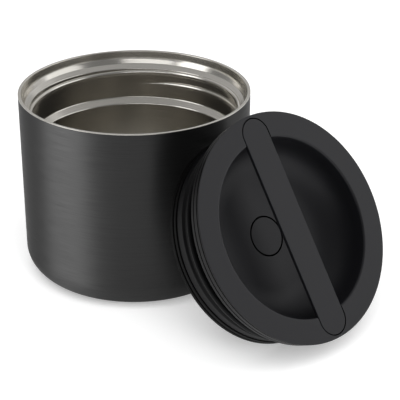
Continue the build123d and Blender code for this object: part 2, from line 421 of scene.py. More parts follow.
# Pressed getter powder on a metal strip.
GETTER_STRIP = BrushedMetal(
    "getter strip", "getter", "58585a", 0.6, other="6c6c6e", line=0.3, run=0.3, relief=0.01,
    anisotropy=0.0,
)
# Poured polyurethane foam.
LID_FOAM = Porous("rigid polyurethane foam", "foam", "d9cfae", 0.9)


# --- outlines
@dataclass
class Outline:
    """An anticlockwise outline in the plane of radius and height, in millimetres.

    Attributes:
        marks: Corners as (radius, height, rounding).
        steps: How many short edges a rounding gets.
        hold: Distance from a straight run's ends at which points keep it flat.
    """

    marks: list[tuple[float, float, float]] = field(default_factory=list)
    steps: int = 6
    hold: float = 0.12

    def to(self, r: float, z: float, rounding: float = 0.0) -> Outline:
        """Go straight to a corner at a radius and a height, and round it by a radius."""
        self.marks.append((r, z, rounding))
        return self

    def bend(
        self, centre: Point, run: float, rise: float, start: float, end: float, steps: int = 24
    ) -> Outline:
        """Follow part of an ellipse.

        Args:
            centre: Centre of the ellipse.
            run: Its half width.
            rise: Its half height.
            start: First angle in degrees.
            end: Last angle in degrees.
            steps: How many short edges it gets.

        Returns:
            This outline.
        """
        for i in range(steps + 1):
            a = math.radians(start + (end - start) * i / steps)
            self.marks.append((centre[0] + run * math.cos(a), centre[1] + rise * math.sin(a), 0.0))
        return self

    def closed(self) -> bool:
        """Tell whether the outline stays off the axis, so that its ends meet."""
        return min(r for r, _, _ in self.marks) > ON_AXIS

    def rounded(self) -> list[Point]:
        """Draw every rounding.

        Returns:
            The outline's points.
        """
        points: list[Point] = []
        count = len(self.marks)
        for i, (r, z, radius) in enumerate(self.marks):
            here = Vector((r, z))
            if not radius:
                points.append((r, z))
                continue
            back = Vector(self.marks[i - 1][:2]) - here
            ahead = Vector(self.marks[(i + 1) % count][:2]) - here
            half = back.angle(ahead) / 2
            middle = (back.normalized() + ahead.normalized()).normalized()
            centre = here + middle * (radius / math.sin(half))
            first = here + back.normalized() * (radius / math.tan(half)) - centre
            last = here + ahead.normalized() * (radius / math.tan(half)) - centre
            for k in range(self.steps + 1):
                points.append(tuple(centre + first.slerp(last, k / self.steps).normalized() * radius))
        return points

    def points(self) -> list[Point]:
        """Add points near the ends of the rounded outline's straight runs, which keep them flat.

        Returns:
            The outline's points.
        """
        rounded = self.rounded()
        pairs = list(zip(rounded, rounded[1:] + rounded[:1]))
        if not self.closed():
            pairs = pairs[:-1]
        result: list[Point] = []
        for a, b in pairs:
            result.append(a)
            start, end = Vector(a), Vector(b)
            length = (end - start).length
            if length > 5 * self.hold:
                result.append(tuple(start.lerp(end, self.hold / length)))
                result.append(tuple(end.lerp(start, self.hold / length)))
        if not self.closed():
            result.append(rounded[-1])
        return result


# --- geometry trees
class GeometryTree(ABC):
    """A Geometry Nodes tree with named inputs, made once and set on many pieces.

    Attributes:
        label: The tree's name.
        sizes: Name of each input to its kind.
    """

    label: str = "tree"
    sizes: dict[str, str] = {}

    def __init__(self) -> None:
        """Build the tree and remember each input's identifier."""
        self.tree = bpy.data.node_groups.new(self.label, "GeometryNodeTree")
        face = self.tree.interface
        face.new_socket("Geometry", in_out="INPUT", socket_type="NodeSocketGeometry")
        self.identifiers = {
            name: face.new_socket(name, in_out="INPUT", socket_type=f"NodeSocket{kind}").identifier
            for name, kind in self.sizes.items()
        }
        face.new_socket("Geometry", in_out="OUTPUT", socket_type="NodeSocketGeometry")
        self.given = add_node(self.tree, "NodeGroupInput")
        mesh = self.draw()
        real = add_node(self.tree, "GeometryNodeRealizeInstances", {"Geometry": mesh})
        dressed = add_node(
            self.tree, "GeometryNodeSetMaterial", {
                "Geometry": real, "Material": self.given.outputs["Material"],
            }
        )
        add_node(self.tree, "NodeGroupOutput", {"Geometry": dressed})

    @abstractmethod
    def draw(self) -> Node:
        """Add the nodes that make the mesh.

        Returns:
            The last of them.
        """

    def apply(self, piece: Object, **values: object) -> None:
        """Run the tree on a piece and keep the result as its plain mesh.

        Args:
            piece: The object that the tree starts from.
            **values: Input name, with _ for a space, to its value.
        """
        modifier = piece.modifiers.new(self.label, "NODES")
        modifier.node_group = self.tree
        for name, value in values.items():
            modifier[self.identifiers[name.replace("_", " ")]] = value
        settle(piece)


class TurnTree(GeometryTree):
    """Turns a flat outline about the Z axis."""

    label = "turned outline"
    sizes = {"Segments": "Int", "Hub": "Float", "Material": "Material"}

    def draw(self) -> Node:
        """Sweep the outline along a small circle and close the poles.

        Returns:
            The last node.
        """
        tree, given = self.tree, self.given.outputs
        circle = add_node(
            tree, "GeometryNodeCurvePrimitiveCircle", {
                "Resolution": given["Segments"], "Radius": given["Hub"],
            }
        )
        upright = add_node(tree, "GeometryNodeSetCurveNormal", {"Curve": circle}, mode="Z_UP")
        outline = add_node(tree, "GeometryNodeMeshToCurve", {"Mesh": given["Geometry"]})
        swept = add_node(tree, "GeometryNodeCurveToMesh", {"Curve": upright, "Profile Curve": outline})
        joined = add_node(
            tree, "GeometryNodeMergeByDistance", {"Geometry": swept, "Distance": 0.002 * MM}
        )
        return joined


class ThreadTree(GeometryTree):
    """Winds a rounded ridge into a right-handed screw thread that fades out at both ends."""

    label = "screw thread"
    sizes = {
        "Radius": "Float", "Pitch": "Float", "Turns": "Float", "Start": "Float", "Height": "Float",
        "Ridge Width": "Float", "Ridge Depth": "Float", "Fade": "Float", "Material": "Material",
    }

    def draw(self) -> Node:
        """Wind the path, give it the ridge's section and shrink the section at the ends.

        Returns:
            The last node.
        """
        tree, given = self.tree, self.given.outputs
        rise = add_node(
            tree, "ShaderNodeMath", {0: given["Pitch"], 1: given["Turns"]}, operation="MULTIPLY"
        )
        spiral = add_node(
            tree, "GeometryNodeCurveSpiral", {
                "Resolution": 160, "Rotations": given["Turns"], "Start Radius": given["Radius"],
                "End Radius": given["Radius"], "Height": rise,
            }
        )
        turn = add_node(tree, "ShaderNodeCombineXYZ", {"Z": given["Start"]})
        lift = add_node(tree, "ShaderNodeCombineXYZ", {"Z": given["Height"]})
        placed = add_node(
            tree, "GeometryNodeTransform", {"Geometry": spiral, "Translation": lift, "Rotation": turn}
        )
        upright = add_node(tree, "GeometryNodeSetCurveNormal", {"Curve": placed}, mode="Z_UP")
        part = add_node(tree, "GeometryNodeSplineParameter")
        left = add_node(tree, "ShaderNodeMath", {0: 1.0, 1: part}, operation="SUBTRACT")
        nearer = add_node(tree, "ShaderNodeMath", {0: part, 1: left}, operation="MINIMUM")
        fade = add_node(
            tree, "ShaderNodeMapRange", {
                "Value": nearer, "From Max": given["Fade"], "To Min": 0.02,
            }, interpolation_type="SMOOTHERSTEP"
        )
        section = add_node(tree, "GeometryNodeCurvePrimitiveCircle", {"Resolution": 28, "Radius": 1.0})
        shape = add_node(
            tree, "ShaderNodeCombineXYZ", {
                "X": given["Ridge Depth"], "Y": given["Ridge Width"], "Z": 1.0,
            }
        )
        flattened = add_node(tree, "GeometryNodeTransform", {"Geometry": section, "Scale": shape})
        ridge = add_node(
            tree, "GeometryNodeCurveToMesh", {
                "Curve": upright, "Profile Curve": flattened, "Scale": fade, "Fill Caps": True,
            }
        )
        return ridge


@dataclass(frozen=True)
class Ridge:
    """A ridge wound into a right-handed screw. Lengths in millimetres.

    Attributes:
        radius: Radius of its path.
        pitch: Rise of one turn.
        turns: How many turns it makes.
        start: Angle of its lower end, in degrees.
        low: Height of its lower end.
        width: Half its width along the axis.
        depth: How far it stands out from its path.
        fade: Share of its length over which each end fades out.
    """

    radius: float
    pitch: float
    turns: float
    start: float
    low: float
    width: float
    depth: float
    fade: float


def settle(piece: Object) -> None:
    """Replace a piece's mesh by what its modifiers make of it, and drop the modifiers.

    Args:
        piece: The object to settle.
    """
    graph = bpy.context.evaluated_depsgraph_get()
    graph.update()
    made = bpy.data.meshes.new_from_object(piece.evaluated_get(graph), depsgraph=graph)
    old = piece.data
    piece.modifiers.clear()
    piece.data = made
    bpy.data.meshes.remove(old)


def new_object(name: str, mesh: Mesh) -> Object:
    """Link a new object that holds a mesh.

    Args:
        name: Name of the object.
        mesh: Its mesh.

    Returns:
        The object.
    """
    made = bpy.data.objects.new(name, mesh)
    bpy.context.scene.collection.objects.link(made)
    return made


class Workshop:
    """Makes pieces in the CAD frame: turns, winds, cuts, places and dresses them."""

    def __init__(self, lid_place: Matrix) -> None:
        """Make the trees that every piece is made with.

        Args:
            lid_place: Where the lid's own frame stands in the row frame.
        """
        self.turning = TurnTree()
        self.winding = ThreadTree()
        self.places = {Body.JAR: Matrix.Identity(4), Body.LID: lid_place, Body.VALVE: lid_place}

    def turn(self, name: str, outline: Outline, finish: Finish, segments: int = 256) -> Object:
        """Turn an outline about the Z axis of its own frame.

        Args:
            name: Name of the piece.
            outline: Its outline in millimetres.
            finish: Its finish.
            segments: How many steps the turn has.

        Returns:
            The piece, not yet placed.
        """
        hub = 1.0 * MM
        points = outline.points()
        mesh = bpy.data.meshes.new(name)
        count = len(points)
        edges = [(i, (i + 1) % count) for i in range(count if outline.closed() else count - 1)]
        mesh.from_pydata([(r * MM - hub, -z * MM, 0.0) for r, z in points], edges, [])
        piece = new_object(name, mesh)
        self.turning.apply(piece, Segments=segments, Hub=hub, Material=finish.build())
        return piece

    def wind(self, name: str, ridge: Ridge, finish: Finish) -> Object:
        """Wind a ridge about the Z axis of its own frame.

        Args:
            name: Name of the piece.
            ridge: Its shape.
            finish: Its finish.

        Returns:
            The piece, not yet placed.
        """
        piece = new_object(name, bpy.data.meshes.new(name))
        self.winding.apply(
            piece, Radius=ridge.radius * MM, Pitch=ridge.pitch * MM, Turns=ridge.turns,
            Start=math.radians(ridge.start), Height=ridge.low * MM, Ridge_Width=ridge.width * MM,
            Ridge_Depth=ridge.depth * MM, Fade=ridge.fade, Material=finish.build(),
        )
        return piece

    def cut(self, piece: Object, *cutters: Object) -> None:
        """Cut shapes out of a piece, whose cut walls get the cutters' finish.

        Args:
            piece: The piece to cut.
            *cutters: The objects to cut out of it, which go away.
        """
        for cutter in cutters:
            modifier = piece.modifiers.new("cut", "BOOLEAN")
            modifier.material_mode = "TRANSFER"
            modifier.object = cutter
            modifier.solver = "EXACT"
        settle(piece)
        for cutter in cutters:
            bpy.data.objects.remove(cutter)

    def finish(self, piece: Object, body: Body, finish: Finish, *nodes: str) -> None:
        """Place a piece in the frame, smooth it and let it ride.

        Args:
            piece: The piece in its body's own frame.
            body: The body that it rides on.
            finish: The finish that it wears.
            *nodes: The CAD nodes that it stands for, if any.
        """
        mesh = piece.data
        mesh.transform(self.places[body])
        self._face_outwards(mesh)
        mesh.shade_smooth()
        mesh.set_sharp_from_angle(angle=math.radians(CREASE))
        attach(piece, body.value)
        if nodes:
            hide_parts(*nodes)
        LOG.info("%s rides on %s in %s", piece.name, body.value, finish.name)

    @staticmethod
    def line(piece: Object, finish: Finish, radii: Point, heights: Point) -> None:
        """Give the upright walls of a turned piece another finish; here it is used to paint shade onto
        them.

        Args:
            piece: The piece in its body's own frame.
            finish: The walls' finish, a painted shade.
            radii: The least and greatest radius of those walls.
            heights: The least and greatest height of those walls.
        """
        mesh = piece.data
        mesh.materials.append(finish.build())
        for face in mesh.polygons:
            radius, height = Vector(face.center[:2]).length / MM, face.center.z / MM
            within = radii[0] < radius < radii[1] and heights[0] < height < heights[1]
            if within and abs(face.normal.z) < UPRIGHT:
                face.material_index = len(mesh.materials) - 1

    @staticmethod
    def _face_outwards(mesh: Mesh) -> None:
        """Turn every face of a closed mesh outwards.

        Args:
            mesh: The mesh.
        """
        work = bmesh.new()
        work.from_mesh(mesh)
        bmesh.ops.remove_doubles(work, verts=work.verts, dist=WELD)
        bmesh.ops.recalc_face_normals(work, faces=work.faces)
        if work.calc_volume(signed=True) < 0:
            bmesh.ops.reverse_faces(work, faces=work.faces)
        work.to_mesh(mesh)
        work.free()


# --- jar
@dataclass
class Jar:
    """The double-walled steel jar. Sizes in millimetres, as in the CAD frame.

    The step, the shoulder, the throat and the ledge each say how far in and down they go.
    """

    shop: Workshop
    segments: int = 320
    height: float = 96.3
    radius: float = 58.5
    draft: float = 0.9
    corner_height: float = 13.9
    corner_run: float = 15.4
    foot: float = 3.2
    foot_round: float = 0.2
    top_round: float = 0.12
    sheet: float = 0.8
    sheet_back: float = 0.4  # how much lower the sheet's back turns at a slope, in sheets
    back_round: float = 0.3
    lip_height: float = 0.25
    lip_width: float = 1.5
    lip_rounds: Point = (0.2, 0.4)  # outer, inner
    step: Point = (1.9, 4.1)
    step_round: float = 5.0
    shoulder: Point = (1.2, 2.45)
    shoulder_round: float = 0.6
    throat: Point = (2.6, 1.95)
    throat_round: float = 0.6
    ledge: Point = (3.2, 2.66)
    ledge_round: float = 1.0
    ledge_top: float = 71.53
    bowl_taper: float = 1.4
    bowl_corner: float = 12.0
    bowl_floor: float = 9.5
    thread_pitch: float = 6.4
    thread_turns: float = 1.3
    thread_proud: float = 1.25
    thread_width: float = 1.5
    thread_at: Point = (53.0, 10.6)  # a point of the ridge: angle in degrees, depth
    thread_clear: float = 0.3  # from the throat's foot down to the ridge's upper end
    thread_fade: float = 0.06

    def shell(self) -> None:
        """Turn the coated shell, with a soft upper edge and foot."""
        low = self.radius - self.draft
        corner = (low - self.corner_run, self.corner_height)
        top = self.height - self.lip_height
        top_r = self.radius - self.draft * self.lip_height / (self.height - self.corner_height)
        inside = (self.corner_run - self.sheet, self.corner_height - self.sheet)
        outline = Outline()
        outline.to(corner[0] - self.foot, 0, self.foot_round)
        outline.bend(corner, self.corner_run, self.corner_height, 270, 360)
        outline.to(top_r, top, self.top_round).to(top_r - self.sheet, top)
        outline.bend(corner, *inside, 360, 270).to(corner[0] - self.foot, self.sheet)
        piece = self.shop.turn("shell_wall", outline, COATED_STEEL, self.segments)
        self.shop.finish(piece, Body.JAR, COATED_STEEL, "outer_shell")

    def levels(self) -> dict[str, float]:
        """Work out the radii and heights that the neck's outline goes through.

        Returns:
            The name of each to its value.
        """
        step_r = self.radius - self.step[0]
        step_z = self.height - self.step[1]
        shoulder_r, shoulder_z = step_r - self.shoulder[0], step_z - self.shoulder[1]
        neck_r, neck_z = shoulder_r - self.throat[0], shoulder_z - self.throat[1]
        return {
            "step_r": step_r, "step_z": step_z, "shoulder_r": shoulder_r, "shoulder_z": shoulder_z,
            "neck_r": neck_r, "neck_z": neck_z, "bowl_r": neck_r - self.ledge[0],
            "ledge_low": self.ledge_top - self.ledge[1],
        }

    def liner(self) -> None:
        """Turn the bowl, ledge, neck, shoulder and lip as one drawn sheet."""
        at = self.levels()
        bowl_low = at["bowl_r"] - self.bowl_taper
        centre = (bowl_low - self.bowl_corner, self.bowl_floor + self.bowl_corner)
        back, t = self.sheet * self.sheet_back, self.sheet
        top = self.height - self.lip_height
        outline = Outline()
        outline.to(0, self.bowl_floor - t)
        outline.bend(centre, self.bowl_corner + t, self.bowl_corner + t, 270, 360)
        outline.to(at["bowl_r"] + t, at["ledge_low"] - back).to(at["neck_r"] + t, self.ledge_top - back)
        outline.to(at["neck_r"] + t, at["neck_z"] - back)
        outline.to(at["shoulder_r"] + t, at["shoulder_z"] - back, self.back_round)
        outline.to(at["step_r"] + t, at["step_z"] - back).to(self.radius - t, top).to(self.radius, top)
        outline.to(self.radius, self.height, self.lip_rounds[0])
        outline.to(self.radius - self.lip_width, self.height, self.lip_rounds[1])
        outline.to(at["step_r"], at["step_z"], self.step_round)
        outline.to(at["shoulder_r"], at["shoulder_z"], self.shoulder_round)
        outline.to(at["neck_r"], at["neck_z"], self.throat_round)
        outline.to(at["neck_r"], self.ledge_top, self.ledge_round)
        outline.to(at["bowl_r"], at["ledge_low"], self.ledge_round)
        outline.bend(centre, self.bowl_corner, self.bowl_corner, 360, 270).to(0, self.bowl_floor)
        piece = self.shop.turn("liner_bowl", outline, SPUN_STEEL, self.segments)
        self.shop.finish(piece, Body.JAR, SPUN_STEEL, "inner_liner")

    def thread(self) -> None:
        """Wind the rolled thread inside the neck, from below up to just under the throat."""
        at, pitch, turns = self.levels(), self.thread_pitch, self.thread_turns
        angle, depth = self.thread_at
        top_depth = at["shoulder_z"] - at["neck_z"] + self.step[1] + self.shoulder[1] + self.thread_clear
        top_angle = angle + 360 * (depth - top_depth) / pitch
        ridge = Ridge(
            at["neck_r"], pitch, turns, start=top_angle - 360 * turns,
            low=self.height - top_depth - pitch * turns,
            width=self.thread_width, depth=self.thread_proud, fade=self.thread_fade,
        )
        self.shop.finish(self.shop.wind("neck_thread", ridge, SPUN_STEEL), Body.JAR, SPUN_STEEL)


# --- lid
@dataclass
class Lid:
    """The screw lid, drawn upright with its top face at height 0. Sizes in millimetres."""

    shop: Workshop
    radius: float = 56.15
    rim_draft: float = 0.9
    rim_edge: float = 0.2
    fine_round: float = 0.12
    top_thickness: float = 3.85
    parting: float = 0.6
    parting_depth: float = 1.0
    flange: float = 6.6
    flange_round: float = 0.6
    flange_root: float = 0.8
    flange_sheet: float = 0.5
    groove_at: float = 1.1
    groove_radius: float = 0.35
    wall: float = 1.8
    ring_width: float = 12.45
    ring_round: float = 1.0
    dish_depth: float = 20.9
    dish_skirt: float = 5.0
    dish_run: float = 18.0
    dish_steps: int = 40
    boss_radius: float = 9.95
    boss_round: float = 0.15
    plate_top: float = -26.85
    root_radius: float = 49.4
    band_proud: float = 1.0
    band_height: float = 4.0
    band_rounds: Point = (0.25, 0.5)  # lower, upper
    band_slope: float = 0.9
    plug_wall: float = 2.0
    seal_radius: float = 50.9
    seal_height: float = 4.55
    seal_groove: float = 1.0
    seal_rounds: tuple[float, float, float] = (0.4, 0.3, 0.1)  # outer, lip, groove
    seal_fold: float = 0.7  # how far the seal steps out round the base plate, in grooves
    plug_depth: float = 28.75
    bar_width: float = 15.8
    bar_inset: float = 1.75
    bar_thickness: float = 2.4
    bar_turn: float = 0.6
    bar_edge: float = 0.25
    bar_edge_steps: int = 4
    bar_belly: float = 0.8
    bar_hold: float = 0.15  # from an edge to the loop that keeps the face beside it flat
    inlay_gap: float = 0.5
    inlay_over: float = 1.0  # how far the pocket's cutter stands above the ring
    post_radius: float = 2.0
    post_gap: float = 0.1
    post_sink: float = 0.01  # how far a pin reaches below the top moulding
    post_bite: float = 0.2  # how far a pin reaches into the bar
    post_segments: int = 48
    thread_pitch: float = 6.4
    thread_turns: float = 1.37
    thread_proud: float = 2.8
    thread_width: float = 1.35
    thread_at: Point = (182.5, 14.8)  # a point of the ridge: angle in degrees, depth
    thread_top: float = 8.9
    thread_sink: float = 0.1
    thread_fade: float = 0.05

    def rim(self, depth: float) -> float:
        """Give the drafted rim's radius at a depth below the top face."""
        return self.radius - self.rim_draft * depth / self.flange

    def bar_loop(self, grow: float, z: float, steps: int = 24) -> list[Vector]:
        """Give one round-ended loop of the bar, anticlockwise from above.

        Args:
            grow: How far the loop lies outside the bar's own outline.
            z: Height of the loop.
            steps: How many edges each round end has.

        Returns:
            The loop's points in millimetres.
        """
        half = self.radius - self.bar_inset - self.bar_width / 2
        reach = self.bar_width / 2 + grow
        turn = Matrix.Rotation(math.radians(self.bar_turn), 3, "Z")
        loop = []
        for side, first in ((1, 0), (-1, 180)):
            for i in range(steps + 1):
                a = math.radians(first + 180 * i / steps)
                point = Vector((reach * math.cos(a), side * half + reach * math.sin(a), z))
                loop.append(turn @ point)
        return loop

    def bar_solid(self, name: str, layers: list[Point], finish: Finish) -> Object:
        """Stack loops of the bar into a closed solid.

        Args:
            name: Name of the object.
            layers: (grow, height) of each loop, from the lowest up.
            finish: Its finish.

        Returns:
            The object, in the lid's own frame.
        """
        work = bmesh.new()
        rings = [[work.verts.new(p * MM) for p in self.bar_loop(grow, z)] for grow, z in layers]
        for low, high in zip(rings, rings[1:]):
            for i in range(len(low)):
                j = (i + 1) % len(low)
                work.faces.new((low[i], low[j], high[j], high[i]))
        work.faces.new(list(reversed(rings[0])))
        work.faces.new(rings[-1])
        mesh = bpy.data.meshes.new(name)
        work.to_mesh(mesh)
        work.free()
        mesh.materials.append(finish.build())
        return new_object(name, mesh)

    def post(self, side: int, radius: float, name: str) -> Object:
        """Turn one of the bar's two pins, or the hole for it.

        Args:
            side: 1 for the pin towards +Y and -1 for the other.
            radius: Radius of the pin or hole.
            name: Name of the object.

        Returns:
            The object, in the lid's own frame.
        """
        foot = -self.top_thickness - self.post_sink
        head = -self.bar_thickness + self.post_bite
        outline = Outline().to(0, foot).to(radius, foot).to(radius, head).to(0, head)
        pin = self.shop.turn(name, outline, CHARCOAL_LID, self.post_segments)
        middle = (self.radius * 2 - self.ring_width) / 2 * side * MM
        turn = Matrix.Rotation(math.radians(self.bar_turn), 4, "Z")
        pin.data.transform(turn @ Matrix.Translation((0, middle, 0)))
        return pin

    def top(self) -> None:
        """Turn the top moulding, cut the bar's pocket and the pins' holes into it, and paint shade into
        its gaps and onto its rim's side.
        """
        ring = self.radius - self.ring_width
        dish = ring - self.dish_run
        t, groove = self.top_thickness, self.groove_radius
        boss, wall, floor = self.boss_radius, self.wall, -self.dish_depth
        outline = Outline()
        outline.to(boss + wall, self.plate_top).to(boss + wall, floor - wall)
        outline.bend((dish, -t), self.dish_run + wall, self.dish_depth + wall - t, 270, 360)
        outline.to(self.rim(t), -t, self.fine_round)
        low, high = self.groove_at + groove, self.groove_at - groove
        outline.to(self.rim(low), -low).to(self.rim(self.groove_at) - groove, -self.groove_at)
        outline.to(self.rim(high), -high).to(self.radius, 0, self.rim_edge).to(ring, 0, self.ring_round)
        drop = self.dish_depth - self.dish_skirt
        outline.bend((dish, -self.dish_skirt), self.dish_run, drop, 360, 270, self.dish_steps)
        outline.to(boss, floor, self.boss_round).to(boss, self.plate_top)
        piece = self.shop.turn("lid_cover", outline, CHARCOAL_LID)
        gap = self.inlay_gap
        layers = [(gap, -self.bar_thickness), (gap, self.inlay_over)]
        # The pocket's cut walls take its black finish, a painted shade round the bar.
        pocket = self.bar_solid("pocket", layers, PAINTED_GAP_SHADE)
        holes = [self.post(side, self.post_radius + self.post_gap, "hole") for side in (1, -1)]
        self.shop.cut(piece, pocket, *holes)
        # Painted shade: the bore round the button gets the black finish.
        shaded_heights = (self.plate_top, floor - SHADE_START_DEPTH)
        self.shop.line(piece, PAINTED_GAP_SHADE, (boss - SLACK, boss + SLACK), shaded_heights)
        # Painted shade: the side of the rim gets the darkened plug plastic.
        rim = (self.rim(t) - 2 * SLACK, self.radius + SLACK)
        self.shop.line(piece, SHADED_PLUG_PLASTIC, rim, (-t - SLACK, -self.rim_edge))
        # Painted shade: the parting groove gets the black finish.
        self.shop.line(piece, PAINTED_GAP_SHADE, (self.rim(low) - groove, self.rim(high)), (-low, -high))
        self.shop.finish(piece, Body.LID, CHARCOAL_LID, "lid_top")

    def bar(self) -> None:
        """Build the grip bar with a soft upper edge, a bevelled belly and its two pins."""
        e, belly, t = self.bar_edge, self.bar_belly, self.bar_thickness
        hold, steps = self.bar_hold, self.bar_edge_steps
        layers = [(-belly - hold, -t), (-belly, -t), (0.0, -t + belly), (0.0, -e - hold)]
        for i in range(steps + 1):
            a = math.radians(90 * i / steps)
            layers.append((-e + e * math.cos(a), -e + e * math.sin(a)))
        layers.append((-e - hold, 0.0))
        piece = self.bar_solid("grip_bar", layers, CHARCOAL_LID)
        for side in (1, -1):
            pin = self.post(side, self.post_radius, "pin")
            join = piece.modifiers.new("join", "BOOLEAN")
            join.operation = "UNION"
            join.solver = "EXACT"
            join.object = pin
            settle(piece)
            bpy.data.objects.remove(pin)
        self.shop.finish(piece, Body.LID, CHARCOAL_LID, "handle_bar")

    def plug(self) -> None:
        """Turn the lower moulding: flange, threaded wall, smooth band and the seal's seat, in plastic
        darkened as painted shade.
        """
        inner = self.radius - self.ring_width + self.wall + self.inlay_gap
        seat = self.root_radius - self.seal_groove
        seal_top = -(self.plug_depth - self.seal_height)
        under = -self.flange
        cavity = self.root_radius - self.plug_wall
        band = self.root_radius + self.band_proud
        outline = Outline()
        low_round, high_round = self.band_rounds
        outline.to(cavity, self.plate_top).to(seat, self.plate_top).to(seat, seal_top)
        outline.to(band, seal_top, low_round).to(band, seal_top + self.band_height, high_round)
        outline.to(self.root_radius, seal_top + self.band_height + self.band_slope, high_round)
        reveal = self.rim(self.top_thickness) - self.parting_depth
        sill = self.top_thickness + self.parting
        outline.to(self.root_radius, under, self.flange_root)
        outline.to(self.rim(self.flange), under, self.flange_round)
        outline.to(self.rim(sill), -sill, self.fine_round).to(reveal, -sill)
        outline.to(reveal, -self.top_thickness).to(inner, -self.top_thickness)
        outline.to(inner, under + self.flange_sheet).to(cavity, under + self.flange_sheet)
        piece = self.shop.turn("plug_wall", outline, SHADED_PLUG_PLASTIC)
        self.shop.finish(piece, Body.LID, SHADED_PLUG_PLASTIC, "lid_plug")

    def thread(self) -> None:
        """Wind the moulded thread round the plug, in the same plastic darkened as painted shade."""
        pitch, turns = self.thread_pitch, self.thread_turns
        angle, depth = self.thread_at
        top_angle = angle + 360 * (depth - self.thread_top) / pitch
        ridge = Ridge(
            self.root_radius + self.thread_sink, pitch, turns, start=top_angle - 360 * turns,
            low=-(self.thread_top + pitch * turns),
            width=self.thread_width, depth=self.thread_proud, fade=self.thread_fade,
        )
        self.shop.finish(self.shop.wind("plug_thread", ridge, SHADED_PLUG_PLASTIC), Body.LID, SHADED_PLUG_PLASTIC)

    def gasket(self) -> None:
        """Turn the two-lipped seal."""
        seat = self.root_radius - self.seal_groove
        plate = seat + self.seal_groove * self.seal_fold
        top = -(self.plug_depth - self.seal_height)
        middle = (top - self.plug_depth) / 2
        r, g = self.seal_radius, self.seal_groove
        outer, lip, groove = self.seal_rounds
        outline = Outline()
        outline.to(plate, -self.plug_depth).to(r, -self.plug_depth, outer).to(r, middle - g / 2, lip)
        outline.to(r - g, middle, groove).to(r, middle + g / 2, lip).to(r, top, outer).to(seat, top)
        outline.to(seat, self.plate_top).to(plate, self.plate_top)
        piece = self.shop.turn("rim_seal", outline, BLACK_SILICONE)
        self.shop.finish(piece, Body.LID, BLACK_SILICONE, "lid_gasket")


@dataclass
class Vent:
    """The push button in the dish and its spring. Sizes in millimetres, in the lid's own frame."""

    shop: Workshop
    segments: int = 128
    dish_depth: float = Lid.dish_depth
    radius: float = 9.3
    edge: float = 0.15
    head: float = 1.8
    shelf: float = 0.45
    ring_section: float = 0.5
    ring_radius: float = 9.2
    skirt_low: float = -24.6
    skirt_wall: float = 1.3
    stem_radius: float = 1.85
    hub_wall: float = 1.5
    hub_low: float = -23.8
    plate_top: float = Lid.plate_top
    travel: float = 2.0
    wire: float = 0.8
    wire_side: float = 0.7
    wire_turns: float = 2.5
    wire_slack: float = 0.03
    wire_fade: float = 0.002

    def button(self) -> None:
        """Turn the button with its O-ring groove, skirt and hub."""
        head_low = -self.dish_depth - self.head
        ring_z = head_low - self.shelf - self.ring_section
        inner = self.ring_radius - self.ring_section
        skirt = self.radius - self.skirt_wall
        hub = self.stem_radius + self.hub_wall
        outline = Outline()
        outline.to(0, head_low).to(self.stem_radius, head_low).to(self.stem_radius, self.hub_low)
        outline.to(hub, self.hub_low).to(hub, head_low).to(skirt, head_low)
        outline.to(skirt, self.skirt_low).to(self.radius, self.skirt_low)
        outline.to(self.radius, ring_z - self.ring_section).to(inner, ring_z - self.ring_section)
        outline.to(inner, ring_z + self.ring_section).to(self.radius, ring_z + self.ring_section)
        outline.to(self.radius, -self.dish_depth, self.edge).to(0, -self.dish_depth)
        piece = self.shop.turn("push_button", outline, CHARCOAL_LID, self.segments)
        # Painted shade: the button's side below its top edge gets the black finish, so the gap round it
        # shows as a black line.
        shaded_heights = (self.skirt_low, -self.dish_depth - SHADE_START_DEPTH)
        self.shop.line(piece, PAINTED_GAP_SHADE, (inner - SLACK, self.radius + SLACK), shaded_heights)
        self.shop.finish(piece, Body.VALVE, CHARCOAL_LID, "vent_button")

    def spring(self) -> None:
        """Wind the spring from the plate to the button's head."""
        room = -self.dish_depth - self.head - self.plate_top - self.wire_slack
        half = self.wire / 2
        coil = Ridge(
            self.radius - self.skirt_wall - self.wire_side - half, (room - self.wire) / self.wire_turns,
            self.wire_turns, start=0.0, low=self.plate_top + half, width=half, depth=half,
            fade=self.wire_fade,
        )
        piece = self.shop.wind("spring_wire", coil, SPRING_STEEL)
        self.shop.finish(piece, Body.LID, SPRING_STEEL, "vent_spring")
        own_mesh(piece)


# --- studio
class Reach(Enum):
    """What a lamp lights, as the names of the pieces; ALL lights everything."""

    ALL = ()
    SHELL = ("shell_wall", "outer_base", "vacuum_seal", "base_cap")
    MOUTH = ("liner_bowl", "neck_thread", "getter", "heat_shield")
    TABLE = ("table",)


def towards(heading: float, elevation: float) -> Vector:
    """Give the direction of a heading from +Y towards +X and an elevation, both in degrees."""
    h, e = math.radians(heading), math.radians(elevation)
    return Vector((math.sin(h) * math.cos(e), math.cos(h) * math.cos(e), math.sin(e)))


@dataclass(frozen=True)
class Softbox:
    """One rectangular lamp that looks at the object.

    Attributes:
        name: Name of the lamp.
        heading: Where it stands, in degrees from +Y towards +X.
        elevation: How high it stands, in degrees.
        distance: How far off, in metres.
        width: Its width in metres.
        height: Its height in metres.
        power: Its power in watts.
        reach: What it lights; the rest doesn't receive its light.
    """

    name: str
    heading: float
    elevation: float
    distance: float
    width: float
    height: float
    power: float
    reach: Reach = Reach.ALL

    def light(self, target: Vector) -> None:
        """Hang the lamp so that it faces a point, and link it to what it lights.

        Args:
            target: The point that it faces.
        """
        data = bpy.data.lights.new(self.name, "AREA")
        data.shape = "RECTANGLE"
        data.size, data.size_y = self.width, self.height
        data.energy = self.power
        lamp = bpy.data.objects.new(self.name, data)
        away = towards(self.heading, self.elevation)
        lamp.location = target + away * self.distance
        lamp.rotation_euler = away.to_track_quat("Z", "Y").to_euler()
        bpy.context.scene.collection.objects.link(lamp)
        if self.reach is not Reach.ALL:
            lit = bpy.data.collections.new(f"lit by the {self.name}")
            for piece in bpy.context.scene.objects:
                if piece.type == "MESH" and piece.name in self.reach.value:
                    lit.objects.link(piece)
            lamp.light_linking.receiver_collection = lit


